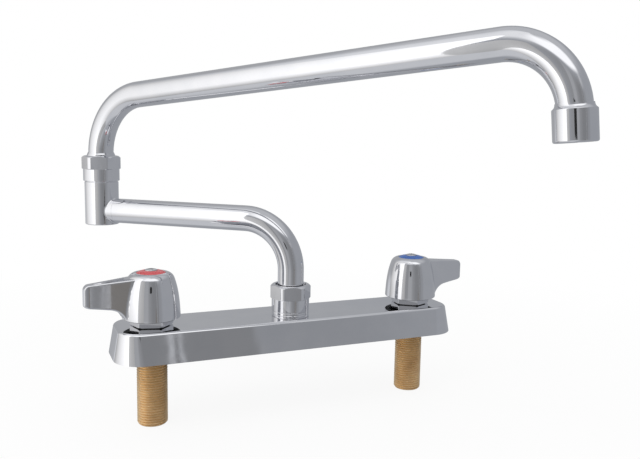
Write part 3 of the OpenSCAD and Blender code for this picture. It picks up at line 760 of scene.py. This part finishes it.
# %% Shanks
TURNS = 31
COIL_FOOT = -51.4 - PITCH
CUT_LOW = -50.4
CUT_HIGH = -0.8
modify(shank, "SCREW", axis="Z", angle=2 * math.pi, screw_offset=PITCH * MM, iterations=TURNS, steps=40,
       render_steps=40, use_merge_vertices=True, merge_threshold=0.00001)
shank.location = (0, 0, COIL_FOOT * MM)
settle(shank)
edit(shank)
bpy.ops.mesh.remove_doubles(threshold=0.01 * MM)
for height, keep_above in ((CUT_LOW, True), (CUT_HIGH, False)):
    bpy.ops.mesh.select_all(action="SELECT")
    bpy.ops.mesh.bisect(plane_co=(0, 0, height * MM), plane_no=(0, 0, 1), use_fill=True,
                        clear_inner=keep_above, clear_outer=not keep_above)
bpy.ops.mesh.select_all(action="SELECT")
bpy.ops.mesh.normals_make_consistent(inside=False)
end()
bar = turn_piece("bar", [(9.25, -49.6), (10.6, -48.25), (10.6, -2.54), (10.0, -1.5)], 72, closed=False)
combine(shank, bar, "INTERSECT", "MANIFOLD")
plain = turn_piece("plain", [(9.58, -3), (9.58, 5.5)], 72, closed=False)
combine(shank, plain, "UNION", "MANIFOLD")
bore = turn_piece("bore", [(7.7, -49.8), (7.0, -49.0), (7.0, 6)], 72, closed=False)
combine(shank, bore, "DIFFERENCE", "MANIFOLD")
smooth(shank, 25)
cold_shank = place(copy_piece(shank, "cold_shank_thread"), VALVE_X, 0)
place(shank, -VALVE_X, 0)
finish(shank, "deck", "shank_brass", shank_brass, "hot_shank")
finish(cold_shank, "deck", "shank_brass", shank_brass, "cold_shank")

# %% [markdown]
# ## Handles
# The handle is the showpiece: a round hub that leans in, rolls over at the shoulder and meets the index
# ring, with a lever on one side that has a hollow under it. The hub is turned on the lathe, with the room
# for the bonnet inside. Its side is one long curve, since a mirror shows each change of slope as a kink in
# its bands. In the hub's outline, heights are counted from its foot.

# %% Handle hub
HUB_FOOT = 25.4
SHOULDER = 27.0
SHOULDER_R = 5.8


def hub_side(up):
    """Radius of the hub's side, so far over its foot."""
    return 19.65 - 0.05 * up - 2.7 * (up / SHOULDER) ** 3


foot_round = [(19.0, 0.0), (19.32, 0.08), (19.55, 0.3)]
heights = [0.6 + (SHOULDER - 0.6) * i / 16 for i in range(17)]
side = [(hub_side(up), up) for up in heights]
lean = math.radians(19)
middle_r = side[-1][0] - SHOULDER_R * math.cos(lean)
middle_up = SHOULDER - SHOULDER_R * math.sin(lean)
over_it = [lean + (math.radians(80) - lean) * i / 9 for i in range(1, 10)]
shoulder = [(middle_r + SHOULDER_R * math.cos(a), middle_up + SHOULDER_R * math.sin(a)) for a in over_it]
rim = [(10.6, 30.9), (10.25, 30.93), (10.0, 30.86), (9.87, 30.7), (9.87, 28.0)]
inside = [(2.3, 28.0), (2.3, 22.1), (3.25, 22.1), (3.25, 10.6), (5.1, 10.6), (9.2, 8.6), (15.4, 5.2),
          (15.4, 0.3), (15.65, 0.0)]
outline = [(r, HUB_FOOT + up) for r, up in foot_round + side + shoulder + rim + inside]
hub = turn_piece("hot_lever_handle", outline, 120)
print("hub has", len(hub.data.polygons), "faces")

# %% [markdown]
# The lever tapers to its tip in height and in thickness, and is hollowed out below where it leaves the
# hub. Where the two meet, the real casting has a small fillet. It is the circle that touches both the
# lever's side and the hub at each height, so the shape is best written as a few functions first.

# %% Lever shape
LEVER_END = 45.35
TIP_ROUND = 3.4
HOLLOW_R = 12.5
HOLLOW_X = 31.0
HOLLOW_Z = HUB_FOOT - 3.8
FILLET_R = 2.5


def lever_top(x):
    """Height of the lever's upper edge, so far from the hub's middle."""
    return HUB_FOOT + 27.65 - 0.066 * (x - 21)


def lever_low(x):
    """Height of the lever's lower edge past the hollow."""
    return HUB_FOOT + 8.6 + 0.148 * (x - 29.17)


def lever_half(x):
    """Half the lever's thickness away from the hub."""
    return 3.3 + 0.07 * (LEVER_END - x) + 0.0017 * (LEVER_END - x) ** 2


def flank(x, up):
    """Half the lever's thickness near the hub, with the fillet."""
    hub_r = hub_side(min(up, SHOULDER)) - 0.05
    off = lever_half(20) + FILLET_R
    middle = math.sqrt((hub_r + FILLET_R) ** 2 - off ** 2)
    touch = middle * hub_r / (hub_r + FILLET_R)
    if x >= middle:
        return lever_half(x)
    spread = off - math.sqrt(max(FILLET_R ** 2 - (middle - max(x, touch)) ** 2, 0))
    return max(spread, lever_half(max(x, touch)))


print("fillet starts", [round(flank(x, 10), 2) for x in (16, 18, 20, 22)])

# %% [markdown]
# The bar is a row of sections, each with its place, its lower and upper edge and its half thickness. They
# start inside the hub, follow the hollow, and end in the round of the tip. Each is extruded from the last
# and scaled.

# %% Lever sections
places = [(x, HUB_FOOT + 1) for x in (11, 12.5, 13.5, 14.3, 15, 15.7, 16.3, 16.9, 17.5, 18.1, 18.7)]
for angle in (22.5, 27, 33, 39, 46, 53, 61, 69, 76, 81.6):
    turn = math.radians(angle)
    places.append((HOLLOW_X - HOLLOW_R * math.cos(turn), HOLLOW_Z + HOLLOW_R * math.sin(turn)))
places += [(x, lever_low(x)) for x in (33, 38, LEVER_END - TIP_ROUND)]
sections = [(x, low, lever_top(x), lever_half(x)) for x, low in places]
for angle in (22.5, 45, 67.5, 90):
    share = 1 - math.cos(math.radians(angle))
    x = LEVER_END - TIP_ROUND * (1 - math.sin(math.radians(angle)))
    sections.append((x, lever_low(x) + 1.2 * share, lever_top(x) - TIP_ROUND * share, lever_half(x) - share))
print("lever has", len(sections), "sections")

# %% Lever bar
x, low, top, thick = sections[0]
bpy.ops.object.select_all(action="DESELECT")
bpy.ops.mesh.primitive_plane_add(size=1, rotation=(0, math.pi / 2, 0),
                                 location=(x * MM, 0, (low + top) / 2 * MM))
bpy.context.object.scale = ((top - low) * MM, 2 * thick * MM, 1)
settle(bpy.context.object)
lever = begin("lever_bar")
pick(lever, "edges", lambda middle, way: abs(way.z) > 0.9)
bpy.ops.mesh.subdivide(number_cuts=11)
pick(lever, "faces", lambda middle, way: True)
for new_x, new_low, new_top, new_thick in sections[1:]:
    bpy.ops.mesh.extrude_region_move()
    bpy.ops.transform.resize(value=(1, new_thick / thick, (new_top - new_low) / (top - low)),
                             center_override=(0, 0, top * MM))
    bpy.ops.transform.translate(value=((new_x - x) * MM, 0, (new_top - top) * MM))
    x, low, top, thick = new_x, new_low, new_top, new_thick
end()
print("lever bar has", len(lever.data.polygons), "faces")

# %% [markdown]
# The bar's flanks are spread near the hub by the fillet, and its long edges get one round bevel. The room
# for the bonnet is cut from it, and it is joined to the hub. The manifold solver does both. It is quick,
# and it needs closed shapes, which these are.

# %% Handle lever
FILLET_ENDS = 26
LONG_EDGE = 1.1
edit(lever)
mesh = bmesh.from_edit_mesh(lever.data)
for point in mesh.verts:
    if point.co.x < FILLET_ENDS * MM:
        point.co.y = math.copysign(flank(point.co.x / MM, point.co.z / MM - HUB_FOOT) * MM, point.co.y)
bpy.ops.mesh.select_all(action="SELECT")
bpy.ops.mesh.normals_make_consistent(inside=False)
mesh = bmesh.from_edit_mesh(lever.data)
bpy.ops.mesh.select_mode(type="EDGE")
bpy.ops.mesh.select_all(action="DESELECT")
for edge in mesh.edges:
    middle = (edge.verts[0].co + edge.verts[1].co) / 2 / MM
    if edge.calc_face_angle(0) > math.radians(40) and middle.x > 11.5:
        edge.select_set(True)
bpy.ops.mesh.bevel(offset=LONG_EDGE * MM, segments=4, affect="EDGES")
end()
room = turn_piece("bonnet_room", [(0.5, 20), (15.8, 20), (15.8, 31), (9.4, 34.6), (0.5, 34.6)], 96)
combine(lever, room, "DIFFERENCE", "MANIFOLD")
combine(hub, lever, "UNION", "MANIFOLD")
edit(hub)
bpy.ops.mesh.remove_doubles(threshold=0.02 * MM)
end()
smooth(hub, 32)
print("handle has", len(hub.data.polygons), "faces")

# %% [markdown]
# Chrome only reaches the outside. The hub's room gets a near-black, dull finish, which is painted shade for
# the closed cavity where little light gets in. Its mirror image in the deck draws the two dark patches beside
# each bonnet. The cold handle is a copy with its own mesh.

# %% Handle finishes
HOT_TURN = 189
COLD_TURN = 1
ROOM_R = 19.2
ROOM_HEIGHT = 11
# The room's near-black colour is painted shade, standing in for the dark inside of the closed cavity.
room_painted_shade = make_plain("room_painted_shade", (0.03, 0.03, 0.032), (0.045, 0.045, 0.045), 0.7, 0.3, 500, 0.0001)
cold_handle = place(copy_piece(hub, "cold_lever_handle"), VALVE_X, 0, 0, COLD_TURN)
place(hub, -VALVE_X, 0, 0, HOT_TURN)
for handle, x, body in ((hub, -VALVE_X, "hot_handle"), (cold_handle, VALVE_X, "cold_handle")):
    finish(handle, body, "chrome", chrome, body)
    handle.data.materials.append(room_painted_shade)
    # Faces inside the room that face down or inwards take the painted shade.
    for face in handle.data.polygons:
        inward = Vector((face.center.x / MM - x, face.center.y / MM, 0))
        in_room = inward.length < ROOM_R and face.center.z < (HUB_FOOT + ROOM_HEIGHT) * MM
        if in_room and (face.normal.z < -0.3 or face.normal.dot(inward) < 0):
            face.material_index = 1
    print(handle.name, "has", sum(face.material_index for face in handle.data.polygons), "dull faces")

# %% [markdown]
# ## Camera
# The photo was taken from the front and left, a little above. The camera stands where the edges in the
# photo say, with a small roll.

# %% Camera
aim = Vector((0.02273, 0, 0.08086))
far = 0.54139
side_angle = math.radians(-23.68)
up_angle = math.radians(7.65)
roll = math.radians(1.09)
back = Vector((math.sin(side_angle) * math.cos(up_angle), -math.cos(side_angle) * math.cos(up_angle),
               math.sin(up_angle)))
stand = aim + far * back
ahead = (aim - stand).normalized()
right = ahead.cross(Vector((0, 0, 1))).normalized()
up = right.cross(ahead)
across = right * math.cos(roll) + up * math.sin(roll)
upright = up * math.cos(roll) - right * math.sin(roll)
camera = bpy.data.objects.new("camera", bpy.data.cameras.new("camera"))
camera.data.sensor_width = 36
camera.data.lens = 41.14
camera.data.clip_start = 0.01
camera.matrix_world = Matrix.Translation(stand) @ Matrix((across, upright, -ahead)).transposed().to_4x4()
bpy.context.scene.collection.objects.link(camera)
bpy.context.scene.camera = camera
print("camera stands at", [round(v, 3) for v in stand])

# %% [markdown]
# ## Light and surroundings
# A product photo on white is lit by big soft panels. The camera sees plain white. The chrome sees the
# studio itself: cool grey walls, a wide soft panel overhead at the front, and the darker front where the
# photographer stands. Those draw its bright and dark bands. So the world answers each kind of ray on its
# own: white to the camera, the studio to mirrors, and an even light to all else.

# %% World
world = bpy.data.worlds.new("studio")
bpy.context.scene.world = world
world.use_nodes = True
nodes = world.node_tree.nodes
links = world.node_tree.links
nodes.clear()


def put(socket, value):
    """Link a socket, or set it when the value is a number."""
    if isinstance(value, (int, float)):
        socket.default_value = value
    else:
        links.new(value, socket)


def calc(operation, *values):
    """One step of node arithmetic."""
    step = nodes.new("ShaderNodeMath")
    step.operation = operation
    for socket, value in zip(step.inputs, values):
        put(socket, value)
    return step.outputs[0]


def over(below, factor, colour):
    """Lay a colour over what is there."""
    layer = nodes.new("ShaderNodeMix")
    layer.data_type = "RGBA"
    put(layer.inputs[0], factor)
    links.new(below, layer.inputs[6])
    layer.inputs[7].default_value = (*colour, 1)
    return layer.outputs[2]


# %% [markdown]
# Two angles tell where in the studio a mirrored ray goes: its bearing round the faucet and its rise. A
# panel is a range of both, with an edge as soft as the real one's.

# %% Panel helpers
ray = nodes.new("ShaderNodeLightPath")
way = nodes.new("ShaderNodeTexCoord")
parts = nodes.new("ShaderNodeSeparateXYZ")
links.new(way.outputs["Generated"], parts.inputs[0])
bearing = calc("ARCTAN2", parts.outputs["Y"], parts.outputs["X"])
rise = calc("ARCSINE", parts.outputs["Z"])


def rising(value, at, soft):
    """A soft step from 0 to 1 where an angle passes so many degrees."""
    step = nodes.new("ShaderNodeMapRange")
    step.interpolation_type = "SMOOTHSTEP"
    step.inputs["From Min"].default_value = math.radians(at - soft)
    step.inputs["From Max"].default_value = math.radians(at + soft)
    links.new(value, step.inputs["Value"])
    return step.outputs[0]


def band(value, low, high, soft):
    """One between two angles and zero outside, with its own softness at either end."""
    return calc("MULTIPLY", rising(value, low, soft[0]), calc("SUBTRACT", 1.0, rising(value, high, soft[1])))


def panel(below, turn, half, sides, low, high, ends, colour):
    """A panel round a bearing, with its own softness left and right, and below and above, in degrees."""
    off = calc("WRAP", calc("SUBTRACT", bearing, math.radians(turn)), math.pi, -math.pi)
    share = calc("MULTIPLY", band(off, -half, half, sides), band(rise, low, high, ends))
    return over(below, share, colour)


def grey(level, cool=0.04):
    """A grey, a little cool."""
    return (level * (1 - cool / 2), level, level * (1 + cool))


# %% [markdown]
# Each panel below is a thing in the studio: its bearing and half width, the softness of its two sides, its
# low and high edge with their softness, and how bright it is.

# %% Studio panels
wall = nodes.new("ShaderNodeRGB")
wall.outputs[0].default_value = (*grey(0.39, 0.07), 1)
studio = wall.outputs[0]
panels = {
    "ceiling": (0, 179.9, (0.1, 0.1), 44, 91, (14, 1), grey(0.58)),
    "far_wall": (108, 44, (18, 20), -18, 50, (14, 10), grey(0.44)),
    "back_left": (124, 16, (8, 12), -40, -3, (12, 5), grey(0.72)),
    "front": (-112, 40.7, (14, 0.5), -40, 33, (12, 8), grey(0.325)),
    "left_front": (-121, 9, (1, 5), -40, 33, (12, 8), grey(0.42)),
    "dark_front": (-86, 14.7, (9, 0.5), -20, 28, (12, 8), grey(0.262)),
    "front_right": (-65, 6.3, (0.5, 7), -30, 30, (12, 8), grey(0.33, 0.06)),
    "low_door": (-81.3, 3.2, (0.8, 0.3), -30, -5, (8, 5), (0.225, 0.215, 0.205)),
    "door_edge": (-77.8, 0.55, (0.12, 0.25), -24, 40, (8, 8), grey(0.52)),
    "door_gap": (-77.7, 0.12, (0.05, 0.05), -24, 40, (8, 8), grey(0.16)),
    "light_column": (-66, 7, (3, 8), 26, 60, (6, 8), grey(0.55)),
    "left_sky": (165, 38, (22, 22), 32, 91, (10, 1), grey(0.85, 0.03)),
    "high_left": (-165, 34, (14, 14), 42, 91, (8, 1), grey(0.93, 0.02)),
    "overhead": (-102, 46, (14, 12), 40, 76, (4, 10), grey(1.27, 0.01)),
    "floor_left": (-175, 60, (24, 24), -91, -16, (1, 10), grey(0.66)),
}
for name, (turn, half, sides, low, high, ends, colour) in panels.items():
    studio = panel(studio, turn, half, sides, low, high, ends, colour)
print("panels:", ", ".join(panels))

# %% World output
PLAIN_LIGHT = 0.75
mirrors = calc("MAXIMUM", ray.outputs["Is Glossy Ray"], ray.outputs["Is Transmission Ray"])
mirrored = nodes.new("ShaderNodeBackground")
links.new(studio, mirrored.inputs["Color"])
plain = nodes.new("ShaderNodeBackground")
plain.inputs["Color"].default_value = (1, 1, 1, 1)
plain.inputs["Strength"].default_value = PLAIN_LIGHT
white = nodes.new("ShaderNodeBackground")
white.inputs["Color"].default_value = (1, 1, 1, 1)
lit = nodes.new("ShaderNodeMixShader")
links.new(mirrors, lit.inputs[0])
links.new(plain.outputs[0], lit.inputs[1])
links.new(mirrored.outputs[0], lit.inputs[2])
seen = nodes.new("ShaderNodeMixShader")
links.new(ray.outputs["Is Camera Ray"], seen.inputs[0])
links.new(lit.outputs[0], seen.inputs[1])
links.new(white.outputs[0], seen.inputs[2])
out = nodes.new("ShaderNodeOutputWorld")
links.new(seen.outputs[0], out.inputs["Surface"])
print("world has", len(nodes), "nodes")

# %% [markdown]
# The dark upright mark on each rounded chrome face is the camera, mirrored. It is a black box right behind
# and above the lens, which only mirrors see.

# %% Camera body
def only_mirrors_see(prop):
    """Hide a studio piece from the camera and from plain surfaces, and let it throw no shadow."""
    prop.visible_camera = False
    prop.visible_diffuse = False
    prop.visible_shadow = False


BEHIND_LENS = 0.06
OVER_LENS = 0.036
bpy.ops.object.select_all(action="DESELECT")
bpy.ops.mesh.primitive_cube_add(size=1)
box = bpy.context.object
box.name = "camera_body"
box.scale = (0.072, 0.10, 0.066)
box.rotation_euler = (0, 0, side_angle)
box.location = stand - ahead * BEHIND_LENS + Vector((0, 0, OVER_LENS))
settle(box)
black, nodes, links, shader = new_material("black_paint")
shader.inputs["Base Color"].default_value = (0.02, 0.02, 0.02, 1)
shader.inputs["Roughness"].default_value = 0.8
box.data.materials.append(black)
only_mirrors_see(box)
print("camera body is", BEHIND_LENS, "m behind the lens")

# %% [markdown]
# The tall softbox on the left stands close, so each piece sees its edge in another direction. A world
# can't do that, so it is a real glowing sheet. It is brightest at its front edge, and fades to its foot. A
# duller flap carries on from that edge.

# %% Glowing sheets
FADE_TOP = 0.02


def fade_along(nodes, links, axis, low, high, at_low, at_high):
    """A value that goes from one end of an object to the other, along one of its own axes."""
    spot = nodes.new("ShaderNodeTexCoord")
    parts = nodes.new("ShaderNodeSeparateXYZ")
    links.new(spot.outputs["Object"], parts.inputs[0])
    fall = nodes.new("ShaderNodeMapRange")
    for field, value in (("From Min", low), ("From Max", high), ("To Min", at_low), ("To Max", at_high)):
        fall.inputs[field].default_value = value
    links.new(parts.outputs[axis], fall.inputs["Value"])
    return fall


def glowing_sheet(name, start, end, low, high, near, far, foot):
    """An upright sheet between two floor points, in metres, with its strength at each end and at its foot."""
    bpy.ops.object.select_all(action="DESELECT")
    bpy.ops.mesh.primitive_plane_add(size=1, rotation=(math.radians(90), 0, 0))
    sheet = bpy.context.object
    sheet.name = name
    span = Vector(end) - Vector(start)
    sheet.scale = (span.length, high - low, 1)
    settle(sheet)
    sheet.rotation_euler = (0, 0, math.atan2(span.y, span.x))
    middle = (high + low) / 2
    sheet.location = ((start[0] + end[0]) / 2, (start[1] + end[1]) / 2, middle)
    cloth, nodes, links, shader = new_material(name + "_cloth")
    sideways = fade_along(nodes, links, "X", -span.length / 2, span.length / 2, near, far)
    upwards = fade_along(nodes, links, "Z", low - middle, FADE_TOP - middle, foot, 1)
    both = nodes.new("ShaderNodeMath")
    both.operation = "MULTIPLY"
    links.new(sideways.outputs[0], both.inputs[0])
    links.new(upwards.outputs[0], both.inputs[1])
    bright = nodes.new("ShaderNodeEmission")
    links.new(both.outputs[0], bright.inputs["Strength"])
    links.new(bright.outputs[0], nodes["Material Output"].inputs["Surface"])
    sheet.data.materials.append(cloth)
    only_mirrors_see(sheet)
    print(name, "is", round(span.length, 2), "m long")


# %% Softbox
SOFTBOX_EDGE = (-0.65, -0.28)
glowing_sheet("softbox", SOFTBOX_EDGE, (-0.65, 0.85), -0.38, 0.95, 1.5, 0.52, 0.44)
glowing_sheet("softbox_flap", (-0.406, -0.369), SOFTBOX_EDGE, -0.38, 0.42, 0.48, 0.66, 0.8)

# %% [markdown]
# ## Floor and key light
# The floor is pale, holds a soft shadow near the shanks and fades to the white around it. The lamp gives
# that shadow its direction. Mirrors see neither of them.

# %% Floor
FLOOR_Z = -0.0497
bpy.ops.object.select_all(action="DESELECT")
bpy.ops.mesh.primitive_plane_add(size=8, location=(0, 0, FLOOR_Z))
floor = bpy.context.object
floor.name = "floor"
paper, nodes, links, shader = new_material("paper")
shader.inputs["Base Color"].default_value = (0.85, 0.85, 0.85, 1)
shader.inputs["Roughness"].default_value = 0.9
light_path = nodes.new("ShaderNodeLightPath")
glow = nodes.new("ShaderNodeEmission")
glow.inputs["Strength"].default_value = 1.0
place_on = nodes.new("ShaderNodeTexCoord")
reach = nodes.new("ShaderNodeVectorMath")
reach.operation = "LENGTH"
links.new(place_on.outputs["Object"], reach.inputs[0])
fade = nodes.new("ShaderNodeMapRange")
for field, value in (("From Min", 0.1), ("From Max", 0.6), ("To Min", 0.9), ("To Max", 1.0)):
    fade.inputs[field].default_value = value
links.new(reach.outputs["Value"], fade.inputs["Value"])
seen_share = nodes.new("ShaderNodeMath")
seen_share.operation = "MULTIPLY"
links.new(light_path.outputs["Is Camera Ray"], seen_share.inputs[0])
links.new(fade.outputs[0], seen_share.inputs[1])
mix = nodes.new("ShaderNodeMixShader")
links.new(seen_share.outputs[0], mix.inputs[0])
links.new(shader.outputs[0], mix.inputs[1])
links.new(glow.outputs[0], mix.inputs[2])
links.new(mix.outputs[0], nodes["Material Output"].inputs["Surface"])
floor.data.materials.append(paper)
floor.visible_glossy = False
print("floor lies at", FLOOR_Z)

# %% Lamp
lamp = bpy.data.objects.new("key", bpy.data.lights.new("key", "AREA"))
lamp.data.shape = "RECTANGLE"
lamp.data.size = 0.8
lamp.data.size_y = 0.8
lamp.data.energy = 6
lamp.location = (-0.7, -0.5, 1.0)
lamp.rotation_euler = (Vector((0, 0, 0.08)) - lamp.location).to_track_quat("-Z", "Y").to_euler()
lamp.visible_glossy = False
bpy.context.scene.collection.objects.link(lamp)
bpy.context.scene.view_settings.view_transform = "Standard"
print("lamp", lamp.data.energy, "W")
